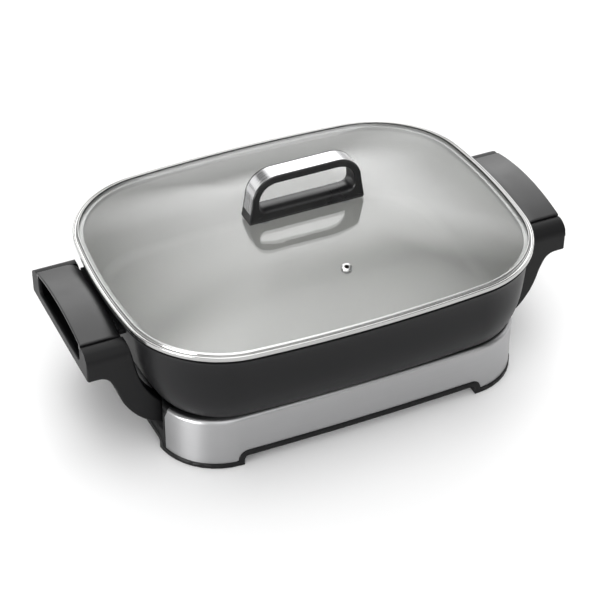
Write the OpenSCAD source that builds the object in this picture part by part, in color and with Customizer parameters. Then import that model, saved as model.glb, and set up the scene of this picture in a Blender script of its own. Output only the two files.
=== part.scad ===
// Electric skillet: a deep pan with rounded corners stands on a steel-banded base whose two ends
// carry box handles. A domed glass lid with a steel ring and a loop handle lies on the pan.
// Millimetres, +Z up, X along the long side, origin on the counter below the middle of the base.

/* [Rim] */
// Length over the lid ring, end to end
rim_length = 400; // [394:1:404]
// Width over the lid ring, front to rear
rim_width = 303; // [298:1:308]
// How far the long sides of the rim bow out
rim_bow_front = 15.5; // [13:0.5:18]
// How far the short sides of the rim bow out
rim_bow_end = 20.8; // [18:0.2:23]
// Corner radius of the rim in plan
rim_corner = 92.8; // [86:0.4:98]

/* [Pan] */
// Height of the pan from its underside to its rim seat
pan_height = 77.6; // [74:0.2:84]
// Length of the pan at the foot of its wall
pan_foot_length = 344; // [338:1:346]
// Width of the pan at the foot of its wall
pan_foot_width = 261; // [255:1:264]
// Corner radius at the foot of the pan's wall
pan_foot_corner = 57; // [50:1:64]
// How far the pan's wall swells out between its foot and its rim
pan_swell = 5.3; // [3:0.1:6]
// Wall and floor thickness of the pan
pan_wall = 2.8; // [2.4:0.1:3.4]
// Radius inside the pan between floor and wall
pan_fillet = 14; // [8:1:18]
// Half width of the lifting ear on each end of the pan
ear_half = 49.5; // [40:0.5:52]

/* [Base] */
// Length of the base over its steel band
base_length = 353.2; // [350:0.2:358]
// Width of the base over its steel band
base_width = 262.6; // [258:0.2:268]
// Corner radius of the base in plan
base_corner = 58; // [54:1:62]
// Height of the base from the counter to the band's top
base_height = 54; // [52:0.5:58]
// Sheet thickness of the steel bands
band_thick = 0.8; // [0.5:0.1:1.0]
// Radius of the rolled top edge of the base
band_roll = 4; // [3:0.25:5]
// Angle past the end of the base where each band stops
band_stop = 13; // [11:0.5:16]
// Half length of the low arch between the front feet
arch_half = 116; // [108:1:120]
// Height of the arches above the counter
arch_height = 10.5; // [8:0.5:11.5]
// Height of the black trim below the bands
trim_height = 4.7; // [3.5:0.1:5.5]
// How far the trim stands out past the bands
trim_out = 0.9; // [0.5:0.1:1.4]
// How far the rubber feet stand below the trim
foot_drop = 0.8; // [0.5:0.1:1.5]
// Diameter of the rubber feet
foot_dia = 16; // [12:0.5:18]

/* [Handles] */
// Distance from the middle of the base to the handles' outer faces
handle_reach = 236.7; // [234:0.1:245]
// Width of each handle, front to rear
handle_width = 146; // [142:1:150]
// Thickness of each handle arm
arm_thick = 15.2; // [13:0.2:16]
// Height of the handle's shoulders above the counter
handle_top = 120.5; // [118:0.5:122]
// Height of the handle's lower edge above the counter
handle_bottom = 92; // [89:0.5:95]
// Rise of the cap's middle above its ends
cap_crown = 7.4; // [5:0.1:8]
// Shell thickness of the cap
cap_thick = 2.6; // [2:0.1:3.2]
// Half length of the finger slot
slot_half = 53.6; // [46:0.2:54.4]
// Height of the sill below the finger slot
slot_sill = 10; // [8:0.5:12]

/* [Lid] */
// Thickness of the glass
glass_thick = 3.9; // [3.5:0.1:4.0]
// Rise of the glass from its edge to its middle
dome_rise = 26; // [20:1:28]
// Distance of the steam vent in front of the middle
vent_offset = 90; // [80:1:100]
// Hole diameter of the steam vent
vent_dia = 4; // [3:0.25:4.5]
// Length of the lid handle
loop_length = 114; // [106:1:118]
// Depth of the lid handle, front to rear
loop_depth = 19; // [17:0.5:22]
// Height of the lid handle
loop_height = 45; // [43:0.5:50]
// Height of the opening in the lid handle
loop_gap = 26; // [23:0.5:28]
// Width of the steel strip on the lid handle
strip_width = 16; // [11:0.5:16.5]

/* [Heater] */
// Diameter of the tubular heating element
element_dia = 8.2; // [7:0.1:8.6]
// Diameter of the two terminal pins
pin_dia = 6.4; // [5.6:0.1:6.8]
// Distance between the terminal pins
pin_spacing = 36; // [34:1:38]
// Bore of the sleeve for the sensing rod of the control
sleeve_bore = 6.6; // [6:0.1:7.2]

/* [Hidden] */
$fn = 64;
fine = 720;
fit = 0.3;

// An outline has four arcs for sides and four for corners, all tangent.
// It is held as half length, half width, front radius, end radius and corner radius.
function arc_radius(half, bow) = (half * half + bow * bow) / (2 * bow);
function outline(a, b, bow_f, bow_e, r) = [a, b, arc_radius(a, bow_f), arc_radius(b, bow_e), r];
function grown(o, d) = [for (v = o) v + d];
function corner(o) =
    let (f = [0, o[1] - o[2]], e = [o[0] - o[3], 0], d = e - f, n = norm(d), u = d / n)
    let (p = o[2] - o[4], q = o[3] - o[4], t = (p * p - q * q + n * n) / (2 * n), h = sqrt(p * p - t * t))
    f + t * u + h * [u[1], -u[0]];
function end_turn(o) = let (c = corner(o)) atan2(c[1], c[0] - o[0] + o[3]);
function front_turn(o) = let (c = corner(o)) atan2(c[1] - o[1] + o[2], c[0]);
function polar(c, r, a) = c + r * [cos(a), sin(a)];
function steps(lo, hi, n) = [for (i = [0 : n - 1]) lo + (hi - lo) * i / n];
function quarter(o) =
    let (c = corner(o), e = end_turn(o), f = front_turn(o))
    concat([for (a = steps(0, e, 4)) polar([o[0] - o[3], 0], o[3], a)],
        [for (a = steps(e, f, 10)) polar(c, o[4], a)],
        [for (a = steps(f, 90, 5)) polar([0, o[1] - o[2]], o[2], a)],
        [[0, o[1]]]);
function loop(o) =
    let (q = quarter(o), n = len(q) - 1)
    concat([for (i = [0 : n - 1]) q[i]],
        [for (i = [n : -1 : 1]) [-q[i][0], q[i][1]]],
        [for (i = [0 : n - 1]) -q[i]],
        [for (i = [n : -1 : 1]) [q[i][0], -q[i][1]]]);
function through(p, n) =
    let (m = len(p) - 1)
    concat([for (i = [0 : m - 1], k = [0 : n - 1])
        let (t = k / n, a = p[max(0, i - 1)], b = p[i], c = p[i + 1], d = p[min(m, i + 2)])
        b + (c - a) * t / 2 + (a - 2.5 * b + 2 * c - d / 2) * t * t
            + (1.5 * (b - c) + (d - a) / 2) * t * t * t],
        [p[m]]);
function bend(c, r, from, to, n) = [for (i = [0 : n]) polar(c, r, from + (to - from) * i / n)];

// Levels
trim_top = foot_drop + trim_height;
arch_trim = trim_height + 0.6;
band_foot = trim_top + fit;
roll_z = base_height - band_roll;
deck_z = base_height - band_thick - fit;
deck_thick = 3;
deck_under = 19.2;
pan_z = base_height + 0.6;
floor_z = arch_height + arch_trim + 2.4;
seat_z = pan_z + pan_height;
wall_top = seat_z - 5;
ring_z = seat_z + fit;
glass_z = ring_z + 0.7;
dome_z = glass_z + glass_thick + dome_rise;
pad_thick = 1.6;
loop_z = dome_z + pad_thick;
pin_z = pan_z - 1 - element_dia / 2;

// Outlines
RIM = outline(rim_length / 2, rim_width / 2, rim_bow_front, rim_bow_end, rim_corner);
FOOT = outline(pan_foot_length / 2, pan_foot_width / 2, 9, 8.6, pan_foot_corner);
BASE = outline(base_length / 2, base_width / 2, 4.6, 4, base_corner);
heat_inset = 46;
heat_corner = 46;
HEAT = outline(pan_foot_length / 2 - heat_inset - 12, pan_foot_width / 2 - heat_inset, 4, 4, heat_corner);
GLASS = grown(RIM, -4.2);
HALL = grown(RIM, -3);
// The pan's wall at a share of its height. It swells most a third of the way up, where the factor makes
// the swell whole.
swell_factor = 6.75;
function pan_at(t) = grown(FOOT + (HALL - FOOT) * t, pan_swell * swell_factor * t * (1 - t) * (1 - t));
function pan_share(z) = (z - pan_z) / (wall_top - pan_z);
function pan_x(z) = pan_at(pan_share(z))[0];
function pan_lean(t) = atan((pan_at(t + 0.01)[0] - pan_at(t - 0.01)[0]) / 0.02 / (wall_top - pan_z));
// The deck below the pan stays inside both the base's wall and the pan's foot.
DECK = [for (i = [0 : 4]) min(FOOT[i], BASE[i] - 2) - deck_under];

// A closed skin through a list of [loop of points, height], flat at both ends.
module loft(rings) {
    n = len(rings[0][0]);
    m = len(rings);
    points = [for (k = rings) for (p = k[0]) [p[0], p[1], k[1]]];
    wall = [for (k = [0 : m - 2]) for (i = [0 : n - 1])
        let (j = (i + 1) % n, a = k * n, b = a + n)
        for (t = [[a + i, b + i, b + j], [a + i, b + j, a + j]]) t];
    lower = [[for (i = [0 : n - 1]) i]];
    upper = [[for (i = [n - 1 : -1 : 0]) (m - 1) * n + i]];
    polyhedron(points, concat(lower, wall, upper), convexity = 8);
}

// A profile of [offset, height] carried along a path of [centre, radius, angle, foot, lean] steps.
// A height under zero stands for the step's own foot. Lean turns the step where the base's ends slant.
// The profile runs up one side and down the other with as many points.
function run(c, r, from, to, n) = [for (i = [1 : n]) [c, r, from + (to - from) * i / n, 0, 0]];
function rise(z) = max(0, min(1, (z - slant_low) / (base_height - slant_low)));
function spot(e, q) =
    let (z = q[1] < 0 ? e[3] : q[1], a = e[2] + e[4] * rise(z), p = e[0] + (e[1] + q[0]) * [cos(a), sin(a)])
    [p[0], p[1], z];
module sweep(path, profile) {
    n = len(path);
    m = len(profile);
    points = [for (q = profile) for (e = path) spot(e, q)];
    wall = [for (k = [0 : m - 1]) for (i = [0 : n - 2])
        let (a = k * n + i, b = ((k + 1) % m) * n + i)
        for (t = [[a, b, b + 1], [a, b + 1, a + 1]]) t];
    caps = [for (j = [0 : m / 2 - 2])
        let (a = j * n, b = a + n, d = (m - 1 - j) * n, c = d - n, f = n - 1)
        for (t = [[d, c, b], [d, b, a], [a + f, b + f, c + f], [a + f, c + f, d + f]]) t];
    polyhedron(points, concat(wall, caps), convexity = 8);
}
// The same all the way round an outline.
module swept(o, profile) {
    rows = [for (q = profile) loop(grown(o, q[0]))];
    n = len(rows[0]);
    m = len(rows);
    points = [for (k = [0 : m - 1]) for (p = rows[k]) [p[0], p[1], profile[k][1]]];
    wall = [for (k = [0 : m - 1]) for (i = [0 : n - 1])
        let (j = (i + 1) % n, a = k * n, b = ((k + 1) % m) * n)
        for (t = [[a + i, b + i, b + j], [a + i, b + j, a + j]]) t];
    polyhedron(points, wall, convexity = 8);
}
module slab(o, z, h) {
    translate([0, 0, z]) linear_extrude(h) polygon(loop(o));
}
module hoop(out, inn, z, h) {
    difference() {
        slab(out, z, h);
        slab(inn, z - 1, h + 2);
    }
}
module both_ends() {
    for (m = [0, 1]) mirror([m, 0, 0]) children();
}
module four_ways() {
    for (m = [0, 1], s = [0, 1]) mirror([m, 0, 0]) mirror([0, s, 0]) children();
}
module along_x(x, y, z, d, h) {
    translate([x, y, z]) rotate([0, 90, 0]) cylinder(d = d, h = h);
}
module upright(x, y, z, d, h) {
    translate([x, y, z]) cylinder(d = d, h = h);
}

// Base

// A low arch in the XZ plane, its upper corners rounded.
module arch(half, top, r) {
    translate([-half, -5]) square([2 * half, top + 5 - r]);
    translate([-half + r, -5]) square([2 * (half - r), top + 5]);
    for (s = [-1, 1]) translate([s * (half - r), top - r]) circle(r);
}
arch_end_half = base_width / 2 - 54;
module front_arch(extra) {
    translate([0, base_width, 0]) rotate([90, 0, 0])
        linear_extrude(2 * base_width) arch(arch_half + extra, arch_height + extra, 4 + extra);
}
module end_arch(extra) {
    translate([-base_length, 0, 0]) rotate([90, 0, 90])
        linear_extrude(2 * base_length) arch(arch_end_half + extra, arch_height + extra, 4 + extra);
}

// Each band's upper corners are cut back on a slant, which the black end pieces fill.
slant_low = base_height - 12;
slant_turn = 7;
function band_from(o) = end_turn(o) + band_stop;

core_out = -band_thick - fit;
core_in = core_out - 3.1;
function rolled(thick, foot) =
    let (c = [-band_roll, roll_z], flange = -band_roll - 5)
    concat([[0, foot], [0, slant_low], [0, roll_z]], bend(c, band_roll, 15, 90, 5),
        [[flange, base_height], [flange, base_height - thick]], bend(c, band_roll - thick, 90, 15, 5),
        [[-thick, roll_z], [-thick, slant_low], [-thick, foot]]);

arm_half = handle_width / 2;
arm_in = base_length / 2 - 7;
arm_low = 24.6;
arm_mid = arm_half - arm_thick / 2;
notch_half = pin_spacing / 2 + 16;
notch_z = pin_z - 15;
post_spots = [[arch_half, base_width / 2 - 14], [0, base_width / 2 - 14]];
foot_spot = [base_length / 2 - 32, base_width / 2 - 32];

module posts(d, z, h) {
    four_ways() upright(post_spots[0][0], post_spots[0][1], z, d, h);
    for (s = [-1, 1]) upright(post_spots[1][0], s * post_spots[1][1], z, d, h);
}
function flip_x(p) = [-p[0], p[1]];
function flip_y(p) = [p[0], -p[1]];
// The path over the end of the base, past both corners as far as the bands.
function end_path(o) =
    let (c = corner(o), e = end_turn(o), f = e + band_stop - 0.6)
    concat([[flip_y(c), o[4], -f, 0, -slant_turn]], run(flip_y(c), o[4], -f, -e, 3),
        run([o[0] - o[3], 0], o[3], -e, e, 8), run(c, o[4], e, f - 0.1, 3), [[c, o[4], f, 0, slant_turn]]);
// The path of a band: round a corner, up over the edge of the arch, and along to the middle.
function band_step(o, x, foot) =
    let (c = corner(o), t = c[0] + o[4] * cos(front_turn(o)))
    x > t ? [c, o[4], acos((x - c[0]) / o[4]), foot, 0] : [[0, o[1] - o[2]], o[2], acos(x / o[2]), foot, 0];
function band_half(o) =
    let (g = arch_trim + fit, half = arch_half + g, top = arch_height + g, r = 4 + g)
    let (last = band_step(o, half + 0.05, band_foot), from = band_from(o))
    let (to = last[1] == o[4] ? last[2] : front_turn(o))
    concat([for (a = steps(from, to, 9)) [corner(o), o[4], a, band_foot, a == from ? slant_turn : 0]], [last],
        [for (a = [0 : 18 : 90]) band_step(o, half - r + r * cos(a), top - r + r * sin(a))],
        [for (i = [1 : 5]) band_step(o, (half - r) * (1 - i / 5), top)]);
function band_path(o) =
    let (h = band_half(o), n = len(h))
    concat(h, [for (i = [n - 2 : -1 : 0]) let (e = h[i]) [flip_x(e[0]), e[1], 180 - e[2], e[3], -e[4]]]);
// Beside each arm the end piece is cut back on a slant, from the arm's root to just short of the band.
relief_from = [arm_in - fit, arm_half + fit];
relief_way = polar(corner(BASE), BASE[4], band_from(BASE) - 3) - relief_from;
relief_wall = 4;
module relief_side(back, past, out) {
    far = relief_from + past * relief_way;
    polygon([relief_from - [back, 1], far - [back, 0], far + [out, 0], relief_from + [out, -1]]);
}
module end_pieces() {
    both_ends() sweep(end_path(BASE), rolled(2.3, foot_drop + 1));
}
module trim() {
    top = arch_height + arch_trim;
    difference() {
        intersection() {
            hoop(grown(BASE, trim_out), grown(BASE, core_out - 1), foot_drop, top - foot_drop);
            union() {
                translate([-base_length, -base_width, 0]) cube([2 * base_length, 2 * base_width, trim_top]);
                front_arch(arch_trim);
                end_arch(arch_trim);
            }
        }
        front_arch(0);
        end_arch(0);
    }
}
module base_frame() {
    color([0.06, 0.06, 0.065]) difference() {
        union() {
            difference() {
                union() {
                    hoop(grown(BASE, core_out), grown(BASE, core_in), foot_drop, roll_z - foot_drop);
                    hoop(grown(BASE, -band_roll), grown(BASE, core_in), roll_z - 1, deck_z - roll_z + 1);
                    hoop(grown(BASE, -band_roll - 0.2), DECK, deck_z - deck_thick, deck_thick);
                    end_pieces();
                    four_ways() intersection() {
                        slab(grown(BASE, core_in + 1.4), foot_drop, 3.4);
                        translate([arch_half, arch_end_half, 0]) cube([200, 200, 20]);
                    }
                }
                front_arch(0);
                end_arch(0);
            }
            trim();
            posts(10, floor_z + 1 + fit, deck_z - floor_z - 1 - fit - 0.5);
            four_ways() translate([arm_in - 5, arm_mid - arm_thick / 2 - 3.4, arm_low - 3.6])
                cube([8, arm_thick + 6.8, deck_z - arm_low + 3.6]);
            four_ways() translate([0, 0, arm_low - 3.6]) linear_extrude(deck_z - arm_low + 2.6)
                intersection() {
                    polygon(loop(grown(BASE, core_out)));
                    relief_side(relief_wall, 1.2, 20);
                }
        }
        four_ways() translate([0, 0, arm_low - fit]) linear_extrude(base_height) relief_side(0, 1.5, 20);
        four_ways() translate([arm_in - fit, arm_mid - arm_thick / 2 - fit, arm_low - fit])
            cube([40, arm_thick + 2 * fit, 60]);
        translate([guard_x - 30, -notch_half, notch_z]) cube([base_length, 2 * notch_half, base_height]);
        four_ways() upright(foot_spot[0], foot_spot[1], -1, foot_dia + 2 * fit, 1 + foot_drop + 1.4);
        posts(3.4, floor_z, 14);
        arm_screw_spots() along_x(-8, 0, 0, 4.6, 12);
        pad_spots() upright(0, 0, deck_z - 1.2, pad_dia + 2 * fit, 5);
    }
}
module base_floor() {
    color([0.62, 0.63, 0.64]) difference() {
        slab(grown(BASE, core_in - 0.6), floor_z, 1);
        posts(4.4, floor_z - 1, 4);
        four_ways() translate([arm_in - 5 - fit, arm_mid - arm_thick / 2 - 3.4 - fit, 0])
            cube([40, arm_thick + 6.8 + 2 * fit, 60]);
    }
}
module floor_screws() {
    color([0.7, 0.7, 0.72]) {
        posts(7, floor_z - 2 - 0.05, 2);
        posts(3, floor_z - 0.6, 12);
    }
}
module rubber_feet() {
    color([0.12, 0.12, 0.12]) four_ways() upright(foot_spot[0], foot_spot[1], 0, foot_dia, foot_drop + 1.2);
}
module front_band() {
    color([0.72, 0.72, 0.73]) mirror([0, 1, 0]) sweep(band_path(BASE), rolled(band_thick, -1));
}
module rear_band() {
    color([0.72, 0.72, 0.73]) sweep(band_path(BASE), rolled(band_thick, -1));
}
pad_dia = 8;
pad_x = 78;
pad_y = DECK[1] - pad_x * pad_x / (2 * DECK[2]) + 6;
module pad_spots() {
    four_ways() translate([pad_x, pad_y, 0]) children();
}
module pan_pads() {
    color([0.25, 0.25, 0.26]) pad_spots() upright(0, 0, deck_z - 1, pad_dia, pan_z - fit - deck_z + 1);
}

// Handles

// The side view of an arm. Its lower line runs from the base to the outer face, given as shares of
// the way out and up. Its upper line keeps off the pan's wall by an even gap.
reach = handle_reach;
low = handle_bottom;
root = arm_in;
arm_line = [[0, 0], [0.179, 0.074], [0.358, 0.228], [0.498, 0.421], [0.572, 0.585], [0.626, 0.757],
    [0.662, 0.837], [0.7, 0.917], [0.76, 0.973], [0.835, 0.997], [0.985, 1]];
arm_gap = 2.8;
arm_back_low = base_height + 0.9;
function arm_out(q) = [root + q[0] * (reach - root), arm_low + q[1] * (low - arm_low)];
arm_side = concat([for (q = through(arm_line, 4)) arm_out(q)], [[reach, low + 1], [reach, handle_top]],
    [for (z = steps(handle_top, arm_back_low, 20)) [max(pan_x(z) + arm_gap, root + 5), z]],
    [[max(pan_x(arm_back_low) + arm_gap, root + 5), arm_back_low], [root, base_height - 6]]);
cap_gap = 3.4;
cap_in = max(pan_x(handle_top) + cap_gap, root + 5);
cap_half = arm_half - arm_thick;
module upright_cut() {
    r = 13;
    rotate([90, 0, 90]) linear_extrude(400) {
        translate([-arm_half, 0]) square([handle_width, handle_top - r]);
        translate([-arm_half + r, 0]) square([handle_width - 2 * r, handle_top]);
        for (s = [-1, 1]) translate([s * (arm_half - r), handle_top - r]) circle(r);
    }
}
module arm_screw_spots() {
    for (m = [0, 1], s = [0, 1], z = [arm_low + 7, arm_low + 17])
        mirror([m, 0, 0]) mirror([0, s, 0]) translate([arm_in, arm_mid, z]) children();
}
module cap_posts(d, z, h) {
    for (s = [-1, 1]) upright(cap_in + 9, s * (cap_half - 9), z, d, h);
}
// The finger slot: its upper edge is the cap's.
module slot_face() {
    r = 5;
    translate([-slot_half + r, low + slot_sill]) square([2 * (slot_half - r), 60]);
    translate([-slot_half, low + slot_sill + r]) square([2 * slot_half, 60]);
    for (s = [-1, 1]) translate([s * (slot_half - r), low + slot_sill + r]) circle(r);
}
module handle() {
    back = cap_in + 3;
    difference() {
        union() {
            intersection() {
                for (s = [-1, 1]) translate([0, s * arm_mid + arm_thick / 2, 0]) rotate([90, 0, 0])
                    linear_extrude(arm_thick) polygon(arm_side);
                upright_cut();
            }
            translate([back, -cap_half - 1, low]) cube([reach - back, 2 * cap_half + 2, 2.4]);
            translate([back, -cap_half - 1, low]) cube([2.4, 2 * cap_half + 2, handle_top - low - 5]);
            translate([reach - 3, -cap_half - 1, low]) cube([3, 2 * cap_half + 2, handle_top - low - 4]);
            cap_posts(9, low, 9);
        }
        translate([reach - 8, 0, 0]) rotate([90, 0, 90]) linear_extrude(20) slot_face();
        cap_posts(4, low - 1, 20);
        cap_posts(7.4, low - 1, 3.4);
        for (s = [0, 1], z = [arm_low + 7, arm_low + 17])
            mirror([0, s, 0]) along_x(arm_in - 1, arm_mid, z, 3.4, 14);
    }
}
module left_handle() {
    color([0.055, 0.055, 0.06]) mirror([1, 0, 0]) handle();
}
module right_handle() {
    color([0.055, 0.055, 0.06]) handle();
}
// The cap is arched along Y by its crown, and rounded down along its edge at the pan.
cap_span = reach - cap_in;
cap_proud = 2;
crown_r = arc_radius(cap_half, cap_crown);
brow_wide = 14;
brow_deep = 6.5;
slot_edge = 2.2;
function brow(d) = let (q = max(0, 1 - d / brow_wide)) brow_deep * (1 - sqrt(1 - q * q));
module cap_arch(top) {
    ways = [0, 0.3, 1, 2, 3.5, 5.5, 8, 11, brow_wide];
    translate([cap_in, 0, top + cap_proud + cap_crown - crown_r]) rotate([0, 90, 0])
        rotate_extrude($fn = fine) polygon(concat([[0, 0]], [for (d = ways) [crown_r - brow(d), d]],
            [[crown_r, cap_span + 1], [0, cap_span + 1]]));
}
module cap_body(inset) {
    half = cap_half - fit - inset;
    intersection() {
        translate([cap_in + inset, -half, handle_top - 12]) cube([cap_span - 2 * inset, 2 * half, 40]);
        cap_arch(handle_top - inset);
    }
}
module cap() {
    difference() {
        union() {
            difference() {
                intersection() {
                    cap_body(0);
                    translate([0, -200, handle_top - 4 + fit]) cube([400, 400, 40]);
                }
                translate([0, 0, -0.01]) cap_body(cap_thick);
                intersection() {
                    translate([cap_in + cap_thick, -slot_half, handle_top - 30])
                        cube([60, 2 * slot_half, 60]);
                    cap_arch(handle_top - slot_edge);
                }
            }
            cap_posts(7, low + 9 + fit, handle_top + cap_proud - low - 9 - fit);
        }
        cap_posts(3.4, low, 20);
    }
}
module left_cap() {
    color([0.07, 0.07, 0.075]) mirror([1, 0, 0]) cap();
}
module right_cap() {
    color([0.07, 0.07, 0.075]) cap();
}
module cap_screws() {
    color([0.6, 0.6, 0.62]) both_ends() {
        cap_posts(6.6, low, 2.3);
        cap_posts(3, low + 2, 16);
    }
}
module arm_screws() {
    color([0.6, 0.6, 0.62]) arm_screw_spots() {
        along_x(-7.1, 0, 0, 7, 2);
        along_x(-5.2, 0, 0, 3, 16);
    }
}

// Pan

ear_z = min(handle_top - 4.5, wall_top - 6.5);
ear_thick = 5;
module pan_shell() {
    r = 5;
    f = pan_fillet;
    span = wall_top - pan_z;
    w = pan_wall;
    floor_top = pan_z + w;
    tilt = pan_lean(f / 2 / span);
    bowl_z = floor_top + f * (1 - sin(tilt));
    low_shares = [0.1, 0.2, 0.32, 0.46, 0.62];
    under = [for (a = [0 : 22.5 : 90])
        let (z = r * (1 - cos(a))) [loop(grown(pan_at(z / span), -r * (1 - sin(a)))), pan_z + z]];
    side = [for (t = concat(low_shares, [pan_share(ear_z), pan_share(ear_z + ear_thick), 1]))
        [loop(pan_at(t)), pan_z + t * span]];
    lip = [[loop(grown(RIM, -1.8)), seat_z - 3.6], [loop(grown(RIM, -1.2)), seat_z - 3],
        [loop(grown(RIM, -1.2)), seat_z - 2.4], [loop(grown(RIM, -1.8)), seat_z - 2],
        [loop(grown(RIM, -4)), seat_z - 1.9], [loop(grown(RIM, -4)), seat_z - 0.3],
        [loop(grown(RIM, -4.3)), seat_z], [loop(grown(RIM, -8.4)), seat_z],
        [loop(grown(RIM, -9.2)), seat_z - 0.6], [loop(grown(RIM, -9.2)), seat_z - 6]];
    inner = [for (t = [0.62, 0.46, 0.32, 0.22])
        [loop(grown(pan_at(t), -w / cos(pan_lean(t)))), pan_z + t * span]];
    bowl = [for (i = [0 : 5])
        let (a = tilt + (90 - tilt) * i / 5, off = w / cos(tilt) + f * (cos(tilt) - cos(a)))
        [loop(grown(pan_at(pan_share(bowl_z)), -off)), floor_top + f * (1 - sin(a))]];
    color([0.1, 0.1, 0.105]) loft(concat(under, side, lip, inner, bowl));
}
// Each ear is a plate on the pan's end wall, just inside the handle's cap.
module pan_ears() {
    low_o = pan_at(pan_share(ear_z));
    rise = pan_at(pan_share(ear_z + ear_thick))[0] - low_o[0];
    turn = asin(ear_half / low_o[3]);
    color([0.09, 0.09, 0.095]) both_ends() intersection() {
        translate([low_o[0] - low_o[3], 0, ear_z]) rotate(-turn) rotate_extrude(angle = 2 * turn, $fn = fine)
            translate([low_o[3], 0]) polygon([[0.1, 0], [40, 0], [40, ear_thick], [rise + 0.1, ear_thick]]);
        translate([0, -ear_half, 0]) cube([cap_in - 0.5, 2 * ear_half, 300]);
    }
}

// Heater, below the pan's floor

tube = element_dia;
groove = tube / 2 + 0.3;
exit_half = pin_spacing / 2;
guard_x = pan_foot_length / 2 - 25.4;
guard_depth = 24;
pin_end = guard_x + guard_depth;
tube_z = pan_z - 0.2 - tube / 2;
sleeve_out = sleeve_bore + 2.4;
sleeve_z = tube_z - 2;
sleeve_back = 34;
sleeve_length = 50;
sleeve_end = 3;
module element_channel() {
    side = groove + 2.4;
    top = pan_z - 0.1;
    deep = top - tube - 0.6;
    color([0.68, 0.68, 0.69]) difference() {
        hoop(grown(HEAT, side), grown(HEAT, -side), deep - 2.2, top - deep + 2.2);
        hoop(grown(HEAT, groove), grown(HEAT, -groove), deep, top);
        translate([0, -exit_half - tube, 0]) cube([300, 2 * exit_half + 2 * tube, 200]);
    }
}
// The tube goes round the loop and turns out through the inlet end with two straight legs.
elbow = tube + 2;
function half_path(o, r) =
    let (c = corner(o), e = end_turn(o), f = front_turn(o))
    let (k = [o[0] - o[3], 0], a = asin((exit_half + r) / (o[3] + r)), x = k[0] + (o[3] + r) * cos(a))
    let (b = [x, exit_half + r])
    concat([[[guard_x - 8, exit_half], 0, 90, 0, 0], [b, -r, 90, 0, 0]], run(b, -r, 90, a, 5),
        run(k, o[3], a, e, 3), run(c, o[4], e, f, 9), run([0, o[1] - o[2]], o[2], f, 90, 4));
module heating_element() {
    ring = [for (i = [0 : 13]) [tube / 2 * cos(i * 360 / 14), tube_z + tube / 2 * sin(i * 360 / 14)]];
    c = corner(HEAT);
    e = end_turn(HEAT);
    f = front_turn(HEAT);
    west = concat(run([0, HEAT[1] - HEAT[2]], HEAT[2], 90, 180 - f, 4),
        run(flip_x(c), HEAT[4], 180 - f, 180 - e, 9),
        run([HEAT[3] - HEAT[0], 0], HEAT[3], 180 - e, 180, 3));
    top_half = concat(half_path(HEAT, elbow), west);
    low_half = [for (i = [len(top_half) - 2 : -1 : 0])
        let (q = top_half[i]) [flip_y(q[0]), q[1], -q[2], 0, 0]];
    color([0.3, 0.3, 0.31]) sweep(concat(top_half, low_half), ring);
}
module terminal_pins() {
    free = guard_x + 4.6;
    color([0.75, 0.75, 0.76]) for (s = [-1, 1]) {
        along_x(guard_x - 3, s * exit_half, tube_z, pin_dia - 1.4, 9);
        along_x(free, s * exit_half, tube_z, pin_dia, pin_end - 1 - free);
        translate([pin_end - 1, s * exit_half, tube_z]) rotate([0, 90, 0])
            cylinder(d1 = pin_dia, d2 = pin_dia - 2, h = 1);
    }
}
module pin_bushings() {
    color([0.9, 0.88, 0.84]) for (s = [-1, 1]) difference() {
        union() {
            along_x(guard_x - 7.8, s * exit_half, tube_z, tube, 12);
            along_x(guard_x - 1.8, s * exit_half, tube_z, tube + 0.2, 1.6);
        }
        along_x(guard_x - 3.1, s * exit_half, tube_z, pin_dia - 1.2, 20);
    }
}
module sensor_sleeve() {
    color([0.7, 0.7, 0.71]) difference() {
        union() {
            along_x(guard_x - sleeve_back, 0, sleeve_z, sleeve_out, sleeve_length);
            along_x(guard_x - 1.8, 0, sleeve_z, sleeve_out + 2.4, 1.6);
        }
        along_x(guard_x - sleeve_back + sleeve_end, 0, sleeve_z, sleeve_bore, sleeve_length);
    }
}
guard_half = exit_half + 13;
tab_mid = guard_half - 4;
module inlet_guard() {
    half = guard_half;
    bottom = pin_z - 12;
    top = pan_z - 0.1;
    color([0.15, 0.15, 0.155]) difference() {
        union() {
            translate([guard_x, -half, bottom]) cube([2, 2 * half, top - bottom]);
            translate([guard_x, -half, bottom]) cube([pin_end - guard_x, 2 * half, 2]);
            for (s = [-1, 1]) translate([guard_x, s * (half - 1) - 1, bottom])
                cube([pin_end - guard_x, 2, top - bottom]);
            for (s = [-1, 1]) translate([guard_x - 12, s * tab_mid - 4, top - 1.6]) cube([14, 8, 1.6]);
        }
        for (s = [-1, 1]) along_x(guard_x - 1, s * exit_half, tube_z, tube + 0.4, 4);
        along_x(guard_x - 1, 0, sleeve_z, sleeve_out + 0.4, 4);
        for (s = [-1, 1]) upright(guard_x - 6.5, s * tab_mid, top - 4, 4.4, 8);
    }
}
module guard_studs() {
    color([0.72, 0.72, 0.73]) for (s = [-1, 1]) translate([guard_x - 6.5, s * tab_mid, 0]) {
        upright(0, 0, pan_z - 7, 4, 6.9);
        translate([0, 0, pan_z - 4.9]) cylinder(d = 8, h = 3.1, $fn = 6);
    }
}

// Lid

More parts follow.
